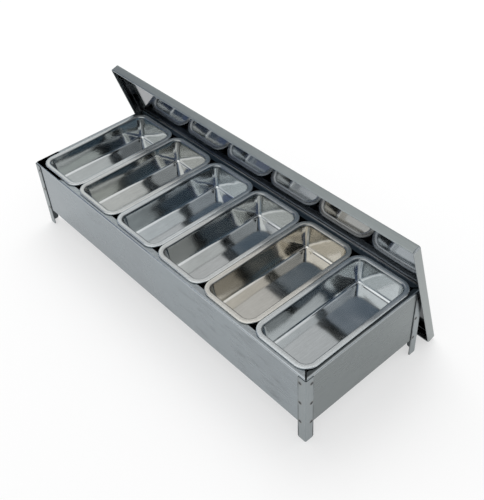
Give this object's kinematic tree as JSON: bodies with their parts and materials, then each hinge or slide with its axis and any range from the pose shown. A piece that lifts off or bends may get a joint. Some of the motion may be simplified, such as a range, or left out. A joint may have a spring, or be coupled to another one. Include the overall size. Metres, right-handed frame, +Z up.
{
  "type": "topping tray box with lift-off cover",
  "caption": "Long sheet-steel topping box on angle legs, with a row of drawn lift-out trays and a loose cover pan leaning behind it.",
  "frame": {"origin": "on the table, in the middle of the footprint of the box and its leaning cover together", "axes": "+X along the row of trays to the right, +Y to the rear where the cover leans, +Z up"},
  "size_m": [0.636, 0.2551, 0.2197],
  "materials": {
    "panel_steel": "bright-rolled sheet, slightly wavy",
    "base_steel": "dull-rolled sheet",
    "leg_steel": "satin sheet with spot-weld marks",
    "tray_steel": "polished drawn sheet",
    "cover_steel": "mirror inside, satin outside"
  },
  "bodies": {
    "box": {"front_panel": "panel_steel", "rear_panel": "panel_steel", "left_end_panel": "panel_steel", "right_end_panel": "panel_steel", "base_panel": "base_steel", "front_left_leg": "leg_steel", "front_right_leg": "leg_steel", "rear_left_leg": "leg_steel", "rear_right_leg": "leg_steel"},
    "tray_1": {"tray_1": "tray_steel"},
    "tray_2": {"tray_2": "tray_steel"},
    "tray_3": {"tray_3": "tray_steel"},
    "tray_4": {"tray_4": "tray_steel"},
    "tray_5": {"tray_5": "tray_steel"},
    "tray_6": {"tray_6": "tray_steel"},
    "cover": {"cover": "cover_steel"}
  },
  "joints": [
    {"name": "cover_lift", "type": "slide", "parent": "box", "child": "cover", "axis": [0, 0, 1], "range_m": [0, 0.14]},
    {"name": "tray_1_lift", "type": "slide", "parent": "box", "child": "tray_1", "axis": [0, -0.1822, 0.9833], "range_m": [0, 0.05]},
    {"name": "tray_2_lift", "type": "slide", "parent": "box", "child": "tray_2", "axis": [0, -0.1822, 0.9833], "range_m": [0, 0.05]},
    {"name": "tray_3_lift", "type": "slide", "parent": "box", "child": "tray_3", "axis": [0, -0.1822, 0.9833], "range_m": [0, 0.05]},
    {"name": "tray_4_lift", "type": "slide", "parent": "box", "child": "tray_4", "axis": [0, -0.1822, 0.9833], "range_m": [0, 0.05]},
    {"name": "tray_5_lift", "type": "slide", "parent": "box", "child": "tray_5", "axis": [0, -0.1822, 0.9833], "range_m": [0, 0.05]},
    {"name": "tray_6_lift", "type": "slide", "parent": "box", "child": "tray_6", "axis": [0, -0.1822, 0.9833], "range_m": [0, 0.05]}
  ]
}
